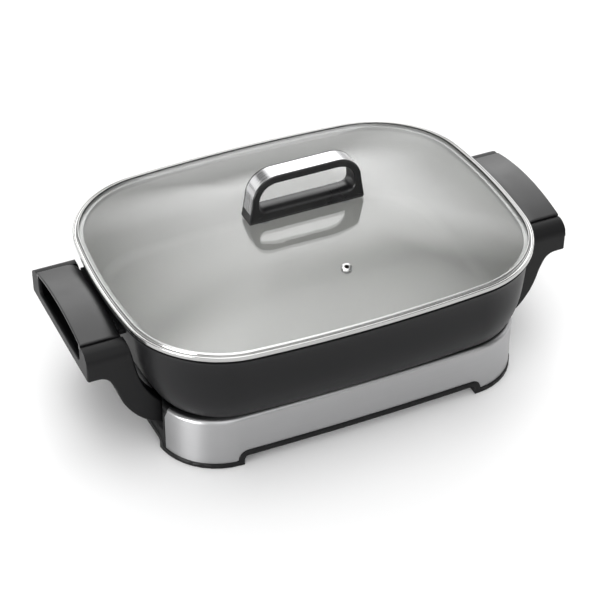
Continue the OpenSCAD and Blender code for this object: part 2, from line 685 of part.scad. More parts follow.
flat_part = 0.3;
function dome(k) = dome_rise * (1 - pow(max(0, k - flat_part) / (1 - flat_part), 1.5));
function dome_under(y) = glass_z + dome(y / GLASS[1]);
screw_x = loop_length / 2 - 17;
vent_z = dome_under(vent_offset) + glass_thick / 2;
vent_tilt = atan((dome_under(vent_offset - 2) - dome_under(vent_offset + 2)) / 4);
module at_vent() {
    translate([0, -vent_offset, vent_z]) rotate([vent_tilt, 0, 0]) children();
}
module lid_glass() {
    cuts = [flat_part, 0.36, 0.44, 0.54, 0.66, 0.8, 0.92, 1];
    edge = loop(GLASS);
    under = [for (k = cuts) [k * edge, glass_z + dome(k)]];
    over = [for (i = [len(cuts) - 1 : -1 : 0]) [cuts[i] * edge, glass_z + glass_thick + dome(cuts[i])]];
    color([0.85, 0.88, 0.88, 0.35]) difference() {
        loft(concat(under, over));
        for (s = [-1, 1]) upright(s * screw_x, 0, dome_z - 20, 6, 40);
        at_vent() upright(0, 0, -10, vent_dia + 2.4, 20);
    }
}
// The ring folds over the edge of the glass and carries it from below. Its skirt centres the lid in the pan.
module lid_ring() {
    z = ring_z;
    top = glass_z + glass_thick;
    color([0.8, 0.8, 0.81]) swept(RIM, [[-0.9, z], [-0.3, z + 0.2], [0, z + 0.8], [0, top - 1.1],
        [-0.25, top - 0.55], [-0.8, top - 0.2], [-1.4, top - 0.25], [-1.9, top - 0.9], [-2.8, top - 0.9],
        [-3.2, top + 0.4], [-3.7, top + 0.85], [-5.1, top + 1.35], [-5.4, top + 1.2], [-5.3, top + 0.9],
        [-3.9, top + 0.35], [-3.4, top - 1.4], [-2.5, top - 1.5], [-1.3, top - 1.4], [-0.7, top - 1.3],
        [-0.6, z + 1], [-0.9, z + 0.5], [-10.5, z + 0.5], [-10.5, z - 3.5], [-9.9, z - 3.5], [-9.9, z]]);
}
module steam_vent() {
    reach_z = glass_thick / 2 + 0.1;
    color([0.8, 0.8, 0.81]) at_vent() difference() {
        union() {
            upright(0, 0, -reach_z - 1, vent_dia + 1.8, 2 * reach_z + 2);
            upright(0, 0, reach_z, vent_dia + 6, 1.2);
            upright(0, 0, -reach_z - 1.2, vent_dia + 6, 1.2);
        }
        upright(0, 0, -10, vent_dia, 20);
    }
}
// The side view of the lid handle, drawn in by an inset.
loop_half = loop_length / 2;
loop_top = loop_z + loop_height;
loop_r = 24.5;
loop_flare = 3.5;
loop_leg = 10.2;
loop_bar = 7.6;
module loop_side(inset) {
    r = loop_r - inset;
    c = loop_half - loop_r - loop_flare;
    h = loop_half - inset;
    polygon(concat([[-h, loop_z], [h, loop_z]], bend([c, loop_top - loop_r], r, 0, 90, 12),
        bend([-c, loop_top - loop_r], r, 90, 180, 12)));
}
module loop_hole() {
    top = loop_top - loop_bar;
    bottom = top - loop_gap;
    half = loop_half - loop_leg;
    r = 17;
    s = 4;
    polygon(concat(bend([half - s, bottom + s], s, -90, 0, 6), bend([half - r, top - r], r, 0, 90, 12),
        bend([r - half, top - r], r, 90, 180, 12), bend([s - half, bottom + s], s, 180, 270, 6)));
}
module side_on(width) {
    translate([0, width / 2, 0]) rotate([90, 0, 0]) linear_extrude(width) children();
}
strip_foot = loop_z + 9;
module strip_room(width, inset, foot) {
    intersection() {
        difference() {
            side_on(width) loop_side(-1);
            side_on(width + 2) loop_side(inset);
        }
        translate([-100, -50, foot]) cube([200, 100, 100]);
    }
}
module lid_handle() {
    color([0.06, 0.06, 0.065]) difference() {
        side_on(loop_depth) difference() {
            loop_side(0);
            loop_hole();
        }
        strip_room(strip_width + 0.4, 1, strip_foot - 0.2);
        for (s = [-1, 1]) upright(s * screw_x, 0, loop_z - 1, 3.4, 10);
    }
}
module handle_strip() {
    color([0.76, 0.76, 0.77]) intersection() {
        strip_room(strip_width, 0.8, strip_foot);
        side_on(strip_width + 4) loop_side(0.05);
    }
}
module handle_pad() {
    color([0.1, 0.1, 0.1]) difference() {
        translate([-loop_half + 1, -loop_depth / 2 + 1, dome_z + 0.05])
            cube([loop_length - 2, loop_depth - 2, pad_thick - 0.1]);
        for (s = [-1, 1]) upright(s * screw_x, 0, dome_z - 5, 6, 20);
    }
}
module lid_screws() {
    color([0.72, 0.72, 0.73]) for (s = [-1, 1]) {
        upright(s * screw_x, 0, dome_z - glass_thick - 1.25 - 2, 8, 2);
        upright(s * screw_x, 0, dome_z - glass_thick - 2, 3, glass_thick + pad_thick + 9);
    }
}
module lid_washers() {
    color([0.2, 0.2, 0.2]) for (s = [-1, 1]) difference() {
        upright(s * screw_x, 0, dome_z - glass_thick - 1.2, 14, 1.1);
        upright(s * screw_x, 0, dome_z - glass_thick - 3, 3.4, 6);
    }
}

base_frame();
base_floor();
floor_screws();
rubber_feet();
front_band();
rear_band();
pan_pads();
left_handle();
right_handle();
left_cap();
right_cap();
cap_screws();
arm_screws();
pan_shell();
pan_ears();
element_channel();
heating_element();
terminal_pins();
pin_bushings();
sensor_sleeve();
inlet_guard();
guard_studs();
lid_glass();
lid_ring();
steam_vent();
lid_handle();
handle_strip();
handle_pad();
lid_screws();
lid_washers();
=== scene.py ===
import math

import bmesh
import bpy
from mathutils import Matrix, Vector


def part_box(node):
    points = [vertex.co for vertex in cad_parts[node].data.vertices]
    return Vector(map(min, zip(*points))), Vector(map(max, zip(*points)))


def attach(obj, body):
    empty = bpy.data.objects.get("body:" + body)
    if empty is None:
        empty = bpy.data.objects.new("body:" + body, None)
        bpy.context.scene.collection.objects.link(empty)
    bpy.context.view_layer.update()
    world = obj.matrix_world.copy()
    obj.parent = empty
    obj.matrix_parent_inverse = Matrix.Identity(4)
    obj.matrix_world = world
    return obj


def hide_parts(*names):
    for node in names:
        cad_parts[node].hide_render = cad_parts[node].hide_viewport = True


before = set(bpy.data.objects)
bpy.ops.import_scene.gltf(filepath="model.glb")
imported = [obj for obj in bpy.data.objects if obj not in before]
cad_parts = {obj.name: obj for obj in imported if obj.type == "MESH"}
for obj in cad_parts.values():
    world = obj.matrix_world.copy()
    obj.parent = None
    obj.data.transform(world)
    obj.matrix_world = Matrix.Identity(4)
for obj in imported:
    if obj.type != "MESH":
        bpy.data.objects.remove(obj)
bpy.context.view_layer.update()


# Base frame: one ring moulded in black heat-proof phenolic, with a deck for the pan, an end panel at
# each side and a trim strip with four feet that shows below the steel.
# The copy keeps every face of the moulding and only shades its round corners smooth.

MM = 0.001


def linear(code):
    """The linear colour of an sRGB hex value."""
    parts = [int(code[i:i + 2], 16) / 255 for i in (1, 3, 5)]
    return [c / 12.92 if c <= 0.04045 else ((c + 0.055) / 1.055) ** 2.4 for c in parts] + [1]


def add(tree, kind, links=None, values=None, **settings):
    """A node with its settings, its socket values and its links."""
    new = tree.nodes.new(kind)
    for name, value in settings.items():
        setattr(new, name, value)
    for name, value in (values or {}).items():
        new.inputs[name].default_value = value
    for name, socket in (links or {}).items():
        tree.links.new(socket, new.inputs[name])
    return new


def finish_of(name, **values):
    """A material with a Principled shader, and the place on the piece that its patterns follow."""
    material = bpy.data.materials.new(name)
    material.use_nodes = True
    tree = material.node_tree
    skin = tree.nodes["Principled BSDF"]
    for socket, value in values.items():
        skin.inputs[socket.replace("_", " ")].default_value = value
    place = add(tree, "ShaderNodeTexCoord").outputs["Object"]
    return material, tree, skin, place


def per_mm(size):
    """The scale of a pattern whose marks are this many millimetres apart."""
    return 1 / (size * MM)


def mottled(tree, skin, pattern, dark, light, least, most, span=(0.3, 0.7)):
    """Lets a pattern vary a finish between two colours and, over a span of the pattern, two roughnesses."""
    tint = add(tree, "ShaderNodeMix", {"Factor": pattern}, {"A": linear(dark), "B": linear(light)},
               data_type="RGBA")
    tree.links.new(tint.outputs["Result"], skin.inputs["Base Color"])
    gloss = add(tree, "ShaderNodeMapRange", {"Value": pattern},
                {"From Min": span[0], "From Max": span[1], "To Min": least, "To Max": most})
    tree.links.new(gloss.outputs["Result"], skin.inputs["Roughness"])


def phenolic(name, dark, light, rough, gloss_level):
    """Phenolic resin, moulded in spark-eroded steel: satin black with an even pebble grain.
    The real grain is near 0.3 mm; it is drawn at 1.3 mm, so that it shows."""
    grain, cloud = 1.3, 38
    material, tree, skin, place = finish_of(name, IOR=1.5, Specular_IOR_Level=gloss_level)
    pebble = add(tree, "ShaderNodeTexNoise", {"Vector": place}, {"Scale": per_mm(grain), "Detail": 2})
    drift = add(tree, "ShaderNodeTexNoise", {"Vector": place}, {"Scale": per_mm(cloud), "Detail": 3})
    mottled(tree, skin, drift.outputs["Fac"], dark, light, rough - 0.05, rough + 0.06)
    relief = add(tree, "ShaderNodeBump", {"Height": pebble.outputs["Fac"]},
                 {"Strength": 0.12, "Distance": 0.1 * MM})
    tree.links.new(relief.outputs["Normal"], skin.inputs["Normal"])
    return material


def shaded(mesh, crease):
    """Smooth shading with sharp edges where faces meet at more than the crease."""
    form = bmesh.new()
    form.from_mesh(mesh)
    bmesh.ops.remove_doubles(form, verts=form.verts, dist=0.001 * MM)
    bmesh.ops.recalc_face_normals(form, faces=form.faces)
    form.to_mesh(mesh)
    form.free()
    mesh.shade_smooth()
    mesh.set_sharp_from_angle(angle=math.radians(crease))


def fitted(name, mesh, material, body, slot, *nodes):
    """The mesh as a piece of the skillet that rides on a body and stands for frame nodes."""
    piece = bpy.data.objects.new(name, mesh)
    bpy.context.scene.collection.objects.link(piece)
    mesh.materials.clear()
    mesh.materials.append(material)
    level = piece.modifiers.new("even_normals", "WEIGHTED_NORMAL")
    level.keep_sharp = True
    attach(piece, body)
    if nodes:
        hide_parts(*nodes)
    return piece


black_moulding = phenolic("black_phenolic_moulded", "#0b0b0c", "#111112", rough=0.44, gloss_level=0.2)
base_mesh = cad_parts["base_frame"].data.copy()
shaded(base_mesh, crease=28)
fitted("base_moulding", base_mesh, black_moulding, "base", "black_plastic", "base_frame")


# Base floor and its screws: a mill-finish aluminium sheet that closes the base from below, held by plated
# steel screws. The sheet keeps the fine lines of the rolling mill.

def metal(name, dark, light, rough, marks, depth, vary=0.07):
    """A bare metal. Its marks are their spacing along X, Y and Z in millimetres, as rolling, drawing or
    turning leaves them, and its roughness varies along them."""
    material, tree, skin, place = finish_of(name, Metallic=1)
    scale = [per_mm(m) for m in marks]
    along = add(tree, "ShaderNodeMapping", {"Vector": place}, {"Scale": scale})
    lines = add(tree, "ShaderNodeTexNoise", {"Vector": along.outputs["Vector"]}, {"Scale": 1, "Detail": 4})
    mottled(tree, skin, lines.outputs["Fac"], dark, light, rough - vary, rough + vary)
    relief = add(tree, "ShaderNodeBump", {"Height": lines.outputs["Fac"]},
                 {"Strength": depth, "Distance": 0.05 * MM})
    tree.links.new(relief.outputs["Normal"], skin.inputs["Normal"])
    return material, tree, skin


def coat(material, *nodes):
    """Gives frame nodes, whose shape is right as it is, their finish."""
    for node in nodes:
        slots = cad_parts[node].data.materials
        slots.clear()
        slots.append(material)


# Rolled aluminium is pale with a soft shine across its lines; zinc plating is bright and faintly uneven.
# The real marks are near 0.2 mm; they are drawn coarser, so that they show.
mill_sheet = metal("aluminium_mill_finish", "#b3b5b8", "#c6c8ca", rough=0.36, marks=(90, 1.6, 90),
                   depth=0.06)[0]
plated_steel = metal("zinc_plated_steel", "#a9abae", "#bfc0c2", rough=0.24, marks=(4, 4, 1.2),
                     depth=0.03)[0]
coat(mill_sheet, "base_floor", "element_channel")
coat(plated_steel, "floor_screws", "arm_screws", "cap_screws")


# Rubber feet: four moulded nitrile discs pressed into pockets below the feet.
# Rubber is dull and slightly dusty, so its shine is low and patchy.

def rubbery(name, dark, light, rough, grain):
    """Moulded rubber or silicone: dull, with a dusty bloom in patches a grain apart."""
    material, tree, skin, place = finish_of(name, IOR=1.45)
    bloom = add(tree, "ShaderNodeTexNoise", {"Vector": place}, {"Scale": per_mm(grain), "Detail": 4})
    mottled(tree, skin, bloom.outputs["Fac"], dark, light, rough - 0.1, rough + 0.1, span=(0, 1))
    return material


coat(rubbery("nitrile_rubber", "#141414", "#1f1f1f", rough=0.8, grain=3), "rubber_feet")


# Steel bands: two strips of stainless sheet, brushed along their length, rolled over at the top and bent
# round the corners of the base. The front one and the rear one stop at the black end panels.

def outline(half_length, half_width, bow_front, bow_end, corner):
    """Four arcs for sides and four for corners: half sizes, side radii and corner radius, in millimetres."""
    front = (half_length ** 2 + bow_front ** 2) / (2 * bow_front)
    end = (half_width ** 2 + bow_end ** 2) / (2 * bow_end)
    return [half_length, half_width, front, end, corner]


def grown(o, d):
    """An outline moved outwards by a distance."""
    return [v + d for v in o]


def corner_of(o):
    """The middle of the first corner's arc, and the turns at which the end and front arcs meet it."""
    half_length, half_width, front, end, corner = o
    front_hub, end_hub = Vector((0, half_width - front)), Vector((half_length - end, 0))
    way = end_hub - front_hub
    span = way.length
    way.normalize()
    p, q = front - corner, end - corner
    t = (p * p - q * q + span * span) / (2 * span)
    middle = front_hub + t * way + math.sqrt(p * p - t * t) * Vector((way.y, -way.x))
    end_turn = math.atan2(middle.y, middle.x - half_length + end)
    front_turn = math.atan2(middle.y - half_width + front, middle.x)
    return middle, end_turn, front_turn


usual_crease = 34


def skinned(name, rows, endless=False, crease=usual_crease):
    """A mesh over rows of points in millimetres, each row a closed ring. Endless rows close on the first.
    Other ends are closed by strips from one half of the ring to the other."""
    m, n = len(rows), len(rows[0])
    points = [Vector(p) * MM for row in rows for p in row]
    last = m if endless else m - 1
    faces = [(k * n + i, k * n + (i + 1) % n, (k + 1) % m * n + (i + 1) % n, (k + 1) % m * n + i)
             for k in range(last) for i in range(n)]
    if not endless:
        faces += [(k + i, k + i + 1, k + n - 2 - i, k + n - 1 - i) for k in (0, (m - 1) * n)
                  for i in range(n // 2 - 1)]
    mesh = bpy.data.meshes.new(name)
    mesh.from_pydata(points, [], faces)
    shaded(mesh, crease)
    return mesh


def spread(low, high, count):
    """Values from low to high in equal steps."""
    return [low + (high - low) * i / count for i in range(count + 1)]


BASE = outline(half_length=176.6, half_width=131.3, bow_front=4.6, bow_end=4, corner=58)
base_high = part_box("front_band")[1].z / MM
band_sheet, band_roll, band_flange, slant_tall = 0.8, 4, 5, 12
band_stop, slant_turn = math.radians(13), math.radians(7)
slant_low = base_high - slant_tall
foot_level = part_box("front_band")[0].z / MM
arch_half, arch_level, arch_round = 121.6, 16.1, 9.6


def band_ring(centre, radius, turn, foot, lean):
    """The sheet's section at one place along the band, up the outside and down the inside."""
    hub = Vector((-band_roll, base_high - band_roll))
    turns = [math.radians(a) for a in spread(0, 90, 9)]
    outside = [(0, foot), (0, slant_low)]
    outside += [(hub.x + band_roll * math.cos(a), hub.y + band_roll * math.sin(a)) for a in turns]
    outside += [(-band_roll - band_flange, base_high)]
    inner = band_roll - band_sheet
    inside = [(-band_roll - band_flange, base_high - band_sheet)]
    inside += [(hub.x + inner * math.cos(a), hub.y + inner * math.sin(a)) for a in reversed(turns)]
    inside += [(-band_sheet, slant_low), (-band_sheet, foot)]
    ring = []
    for off, z in outside + inside:
        rise = max(0, min(1, (z - slant_low) / (base_high - slant_low)))
        a = turn + lean * rise
        ring.append((centre.x + (radius + off) * math.cos(a), centre.y + (radius + off) * math.sin(a), z))
    return ring


def band_step(x, foot):
    """The sheet's section at a distance from the middle of the band."""
    _, half_width, front, _, corner = BASE
    middle, _, front_turn = corner_of(BASE)
    if x > middle.x + corner * math.cos(front_turn):
        return band_ring(middle, corner, math.acos((x - middle.x) / corner), foot, 0)
    return band_ring(Vector((0, half_width - front)), front, math.acos(x / front), foot, 0)


def band_rows(side):
    """The sections from one end of a band to the other, on the front (-1) or the rear (1)."""
    corner = BASE[-1]
    middle, end_turn, front_turn = corner_of(BASE)
    start = end_turn + band_stop
    half = [band_ring(middle, corner, start, foot_level, slant_turn)]
    half += [band_ring(middle, corner, a, foot_level, 0) for a in spread(start, front_turn, 40)[2:]]
    half = [ring for ring in half if ring[0][0] > arch_half]
    half += [band_step(arch_half - arch_round * (1 - math.cos(a)),
                       arch_level - arch_round * (1 - math.sin(a))) for a in spread(0, math.pi / 2, 10)]
    half += [band_step(x, arch_level) for x in spread(arch_half - arch_round, 0, 16)[1:]]
    whole = half + [[(-x, y, z) for x, y, z in ring] for ring in reversed(half[:-1])]
    return [[(x, side * y, z) for x, y, z in ring] for ring in whole]


# Stainless brushed with a belt shows fine lines along the sheet, and its highlights stretch across them.
# The lines are near 0.2 mm apart; they are drawn at 0.8 mm, so that they show.
brushed_band, tree, skin = metal("stainless_brushed", "#a5a5a6", "#acacad", rough=0.36,
                                 marks=(160, 160, 0.8), depth=0.02, vary=0.025)
skin.inputs["Anisotropic"].default_value = 0.7
skin.inputs["Anisotropic Rotation"].default_value = 0.25
turned = add(tree, "ShaderNodeTangent", direction_type="RADIAL", axis="Z")
tree.links.new(turned.outputs["Tangent"], skin.inputs["Tangent"])
for name, side in (("front_band", -1), ("rear_band", 1)):
    fitted(name + "_steel", skinned(name, band_rows(side)), brushed_band, "base", "band_steel", name)


# Pan pads: four buttons of moulded black silicone in the deck, on which the pan stands.
# The pad below the lid's handle is the same; the washers below the pane are natural grey silicone.
# Silicone is dull, and a little smoother than the rubber of the feet.

silicone = rubbery("silicone_moulded", "#1a1a1b", "#242425", rough=0.62, grain=2)
coat(silicone, "pan_pads", "handle_pad")
coat(rubbery("silicone_natural", "#86868a", "#939395", rough=0.5, grain=2), "lid_washers")


# Handles: one phenolic moulding at each end. Two curved arms rise from the base to a box with a finger slot.
# Every outside edge is rounded, and the slot has a soft lip that catches the light.

pan_low, pan_foot_half, pan_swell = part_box("pan_shell")[0].z / MM, 172, 5.3
pan_lip, rim_over = 5, 3
rim_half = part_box("lid_ring")[1].x / MM
pan_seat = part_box("pan_shell")[1].z / MM
wall_top = pan_seat - pan_lip
handle_low, handle_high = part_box("right_handle")
reach, arm_half, handle_top = handle_high.x / MM, handle_high.y / MM, handle_high.z / MM
arm_root, arm_foot = handle_low.x / MM, handle_low.z / MM
arm_thick, box_low, shoulder = 15.2, 92, 13
cap_half = arm_half - arm_thick
cap_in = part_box("right_cap")[0].x / MM


def swell(z):
    """How far the pan's wall stands out at a height; most a third of the way up."""
    t = (z - pan_low) / (wall_top - pan_low)
    to_one = 6.75  # t * (1 - t) ** 2 is at most 1 / 6.75
    return pan_swell * to_one * t * (1 - t) ** 2


def wall_x(z):
    """Half the pan's length at a height."""
    flare = rim_half - rim_over - pan_foot_half
    return pan_foot_half + flare * (z - pan_low) / (wall_top - pan_low) + swell(z)


def through(points, count):
    """A smooth line through points."""
    line = []
    for i in range(len(points) - 1):
        a, b, c = points[max(0, i - 1)], points[i], points[i + 1]
        d = points[min(len(points) - 1, i + 2)]
        for t in spread(0, 1, count)[:-1]:
            line.append([q + (r - p) * t / 2 + (p - 2.5 * q + 2 * r - s / 2) * t * t
                         + (1.5 * (q - r) + (s - p) / 2) * t ** 3 for p, q, r, s in zip(a, b, c, d)])
    return line + [list(points[-1])]


def drawn_in(points, inset):
    """A closed outline with each point moved inwards, square to its neighbours. It runs anticlockwise."""
    moved = []
    for i, p in enumerate(points):
        a, b = Vector(points[i - 1]), Vector(points[(i + 1) % len(points)])
        way = (b - a).normalized()
        moved.append((p[0] - way.y * inset, p[1] + way.x * inset))
    return moved


# An arm's lower line from the base to the box, as shares of its reach and of its rise.
arm_line = [(0, 0), (0.179, 0.074), (0.358, 0.228), (0.498, 0.421), (0.572, 0.585), (0.626, 0.757),
            (0.662, 0.837), (0.7, 0.917), (0.76, 0.973), (0.835, 0.997), (0.985, 1)]
arm_gap, arm_neck, arm_step, arm_tuck = 2.8, 5, 0.9, 6
face_step, top_cut, side_points = 1, 0.3, 72
face_low = box_low + face_step


def evenly(points, count):
    """A line drawn again with a given number of points, evenly along it."""
    line = [Vector(p) for p in points]
    far = [0]
    for a, b in zip(line, line[1:]):
        far.append(far[-1] + (b - a).length)
    drawn, k = [], 0
    for d in spread(0, far[-1], count - 1):
        while k < len(far) - 2 and far[k + 1] < d:
            k += 1
        t = min(1, (d - far[k]) / (far[k + 1] - far[k]))
        drawn.append(tuple(line[k].lerp(line[k + 1], t)))
    return drawn


def arm_side():
    """The side view of an arm: its lower line out from the base and up its outer face, then back along the
    top and down its line along the pan."""
    under = [(arm_root + q * (reach - arm_root), arm_foot + s * (box_low - arm_foot))
             for q, s in through(arm_line, 6)]
    face = [(reach, face_low), (reach, handle_top)]
    top = [(reach - top_cut, handle_top)]
    back = [(max(wall_x(z) + arm_gap, arm_root + arm_neck), z)
            for z in spread(handle_top, base_high + arm_step, 36)]
    back += [(arm_root, base_high - arm_tuck)]
    return evenly(under + face, side_points) + evenly(top + back, side_points)


def arm_rows(side, hand):
    """An arm's sections from its inner side to its outer side, where the edge is rounded."""
    rounding, seam = 1.8, 0.9
    shape = arm_side()
    stops = [(cap_half + seam * (1 - math.cos(a)), 0) for a in spread(0, math.pi / 2, 4)]
    stops += [(y, 0) for y in spread(arm_half - shoulder, arm_half - rounding, 7)]
    stops += [(arm_half - rounding * (1 - math.sin(a)), rounding * (1 - math.cos(a)))
              for a in spread(0, math.pi / 2, 5)[1:]]
    rows = []
    for y, inset in stops:
        past = max(0, y - arm_half + shoulder)
        ceiling = handle_top - shoulder + math.sqrt(max(0, shoulder ** 2 - past ** 2))
        inside = max(0, cap_half + seam - y)
        ceiling -= seam - math.sqrt(max(0, seam ** 2 - inside ** 2))
        # The outer face is drawn closer below the shoulder, so that its points stay apart.
        squeeze = (ceiling - face_low) / (handle_top - face_low)
        line = drawn_in(shape, inset)
        outer = [(x, face_low + (z - face_low) * squeeze if z > face_low else z)
                 for x, z in line[:side_points]]
        upper = [(x, min(z, ceiling)) for x, z in line[side_points:]]
        rows.append([(hand * x, side * y, z) for x, z in outer + upper])
    return rows


slot_half, slot_sill, slot_round, lip = 53.6, 10, 5, 1.2
face_deep, face_drop, box_drop = 3, 4, 5
face_top = handle_top - face_drop


def face_outline(widen):
    """The plate round the finger slot, seen from outside: along the slot, widened at its lip, and back round
    the plate's outer edge."""
    half, sill, r, low = slot_half + widen, box_low + slot_sill - widen, slot_round + widen, box_low + widen
    turns, steps = spread(0, math.pi / 2, 8), spread(0, 1, 4)
    left = [(-half, face_top)] + [(-half + r - r * math.cos(a), sill + r - r * math.sin(a)) for a in turns]
    edge = [(-cap_half, face_top)] + [(-cap_half, sill + r + (low - sill - r) * t) for t in steps]
    edge += [(-cap_half + (cap_half - half + r) * t, low) for t in steps[1:]]
    slot = left + [(-y, z) for y, z in reversed(left)]
    return slot + list(reversed(edge + [(-y, z) for y, z in reversed(edge)]))


def face_rows(hand):
    """The plate's sections from its back to its front, where the slot's lip is rounded."""
    stops = [(reach - face_deep, 0), (reach - lip, 0)]
    stops += [(reach - lip * (1 - math.sin(a)), lip * (1 - math.cos(a)))
              for a in spread(0, math.pi / 2, 5)[1:]]
    return [[(hand * x, y, z) for y, z in face_outline(widen)] for x, widen in stops]


def box_rows(hand):
    """The box's back wall and floor, as one bent wall from arm to arm."""
    back, front, top = box_back, reach - face_deep, handle_top - box_drop
    bend = [(back, top), (back, box_low), (front, box_low), (front, box_low + box_wall),
            (back + box_wall, box_low + box_wall), (back + box_wall, top)]
    return [[(hand * x, y, z) for x, z in bend] for y in (-cap_half, cap_half)]


def joined(name, meshes):
    """Several meshes as one, with smooth shading."""
    form = bmesh.new()
    for mesh in meshes:
        form.from_mesh(mesh)
        bpy.data.meshes.remove(mesh)
    whole = bpy.data.meshes.new(name)
    form.to_mesh(whole)
    form.free()
    whole.shade_smooth()
    whole.set_sharp_from_angle(angle=math.radians(usual_crease))
    return whole


def drilled(piece, holes):
    """Cuts round holes, each given by its middle, axis and radius."""
    for middle, axis, radius in holes:
        drill = bmesh.new()
        turn = Vector((0, 0, 1)).rotation_difference(axis).to_matrix().to_4x4()
        bmesh.ops.create_cone(drill, cap_ends=True, segments=48, radius1=radius * MM, radius2=radius * MM,
                              depth=30 * MM, matrix=Matrix.Translation(middle * MM) @ turn)
        mesh = bpy.data.meshes.new("drill")
        drill.to_mesh(mesh)
        drill.free()
        cutter = bpy.data.objects.new("drill", mesh)
        bpy.context.scene.collection.objects.link(cutter)
        cut = piece.modifiers.new("hole", "BOOLEAN")
        cut.object, cut.operation, cut.solver = cutter, "DIFFERENCE", "EXACT"
        with bpy.context.temp_override(object=piece, active_object=piece):
            bpy.ops.object.modifier_move_to_index(modifier="hole", index=0)
            bpy.ops.object.modifier_apply(modifier="hole")
        bpy.data.objects.remove(cutter)
        bpy.data.meshes.remove(mesh)


box_wall, back_in, post_in, post_tall = 2.4, 3, 9, 9
box_back = cap_in + back_in
post_x, post_y, post_high = cap_in + post_in, cap_half - post_in, box_low + post_tall
post_out, post_bore, head_room = 4.5, 2, 3.7


def posts(hand, bore, out, low, high):
    """Two round posts, one near each end of a box, with bores for its screws."""
    section = [(bore, low), (out, low), (out, high), (bore, high)]
    turns = spread(0, 2 * math.pi, 32)[:-1]
    return [skinned("post", [[(hand * post_x + r * math.cos(a), side * post_y + r * math.sin(a), z)
                              for r, z in section] for a in turns], endless=True) for side in (-1, 1)]


for name, hand in (("left_handle", -1), ("right_handle", 1)):
    parts = [skinned("arm", arm_rows(side, hand)) for side in (-1, 1)]
    parts += [skinned("face", face_rows(hand))]
    box = skinned("box", box_rows(hand))
    sill = bpy.data.objects.new("sill", box)
    bpy.context.scene.collection.objects.link(sill)
    drilled(sill, [(Vector((hand * post_x, side * post_y, box_low)), Vector((0, 0, 1)), head_room)
                   for side in (-1, 1)])
    bpy.data.objects.remove(sill)
    parts += [box] + posts(hand, post_bore, post_out, box_low + box_wall, post_high)
    fitted(name + "_moulding", joined(name, parts), black_moulding, "base", "black_plastic", name)


# Handle caps: an arched phenolic cover screwed over each box from below. It is smoother than the arms,
# so a broad soft highlight lies along its crown, and it falls away towards the pan.

cap_plastic = phenolic("black_phenolic_smooth", "#0f0f10", "#151516", rough=0.36, gloss_level=0.6)
cap_edge, cap_wall, cap_lip = 1.2, 2.6, 2.2
cap_proud, cap_crown = 2, 7.4
skirt_drop, end_gap = 3.7, 0.9
cap_skirt, cap_end = handle_top - skirt_drop, cap_half - end_gap
crown_radius = (cap_half ** 2 + cap_crown ** 2) / (2 * cap_crown)
brow_wide, brow_deep = 14, 5.6


def cap_height(x, y):
    """The cap's top: an arch along the handle that is rounded down along its edge at the pan."""
    crown = handle_top + cap_proud + cap_crown - crown_radius + math.sqrt(crown_radius ** 2 - y * y)
    near = max(0, 1 - (x - cap_in) / brow_wide)
    return crown - brow_deep * (1 - math.sqrt(1 - near * near))


def cap_ring(inset, fall):
    """The cap's edge in plan, drawn in by an inset, and below its top by a fall. It starts at its middle."""
    x0, x1, y1 = cap_in + inset, reach - inset, cap_end - inset
    near, past = min(y1 - 0.4, slot_half), min(y1 - 0.2, slot_half + 0.1)
    # The inmost rings bulge at their ends, so that the strips that close them keep an area.
    bulge = 0.3 if inset >= 15 else 0
    half = [((x0 + x1) / 2 + (x1 - x0) / 2 * t, -y1 - bulge * (1 - t * t)) for t in spread(0, 1, 6)[:-1]]
    half += [(x1, y) for y in [-y1, -past] + spread(-near, near, 26) + [past, y1]]
    half += [((x0 + x1) / 2 + (x1 - x0) / 2 * t, y1 + bulge * (1 - t * t)) for t in spread(1, 0, 6)[1:]]
    plan = half + [(x0 + x1 - x, y) for x, y in reversed(half[1:-1])]
    return [(x, y, cap_height(x, y) - fall) for x, y in plan]


def cap_rows():
    """From below the roof, out over its lower edge, up the skirt and in over the crown."""
    def skirt(ring):
        # Along the finger slot the skirt is only the roof's own edge, so the slot reaches up to it.
        front, beside = reach - cap_wall - 1, slot_half + 0.05
        return [(x, y, z - cap_lip if x > front and abs(y) < beside else min(z - 1, cap_skirt))
                for x, y, z in ring]
    inner = [cap_ring(s, cap_wall) for s in (18, 15, 12, 9, 6, cap_wall + 0.6)]
    rims = [skirt(cap_ring(cap_wall, 0)), skirt(cap_ring(0.3, 0)), skirt(cap_ring(0, -0.3))]
    edge = [cap_ring(cap_edge * (1 - math.cos(a)), cap_edge * (1 - math.sin(a)))
            for a in spread(0, math.pi / 2, 5)]
    return inner + rims + edge + [cap_ring(s, 0) for s in (2, 3.5, 5, 7, 9, 11, 13, 15, 17, 18.5)]


post_gap, post_bite, cap_post_out, cap_post_bore = 0.3, 0.6, 3.5, 1.7
cap_post_low = post_high + post_gap
cap_post_high = cap_height(post_x, post_y) - cap_wall + post_bite
for name, hand in (("left_cap", -1), ("right_cap", 1)):
    parts = [skinned(name, [[(hand * x, y, z) for x, y, z in row] for row in cap_rows()])]
    parts += posts(hand, cap_post_bore, cap_post_out, cap_post_low, cap_post_high)
    fitted(name + "_cover", joined(name, parts), cap_plastic, "base", "cap_plastic", name)


# Pan: cast aluminium with flared walls and a beaded lip. Outside it is sprayed satin black, inside light
# grey ceramic non-stick. The two coats meet under the lid's ring.

RIM = outline(rim_half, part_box("lid_ring")[1].y / MM, bow_front=15.5, bow_end=20.8, corner=92.8)
FOOT = outline(pan_foot_half, half_width=130.5, bow_front=9, bow_end=8.6, corner=57)
pan_wall, pan_fillet, pan_edge, foot_flat, lip_deep = 2.8, 14, 5, 22, 27


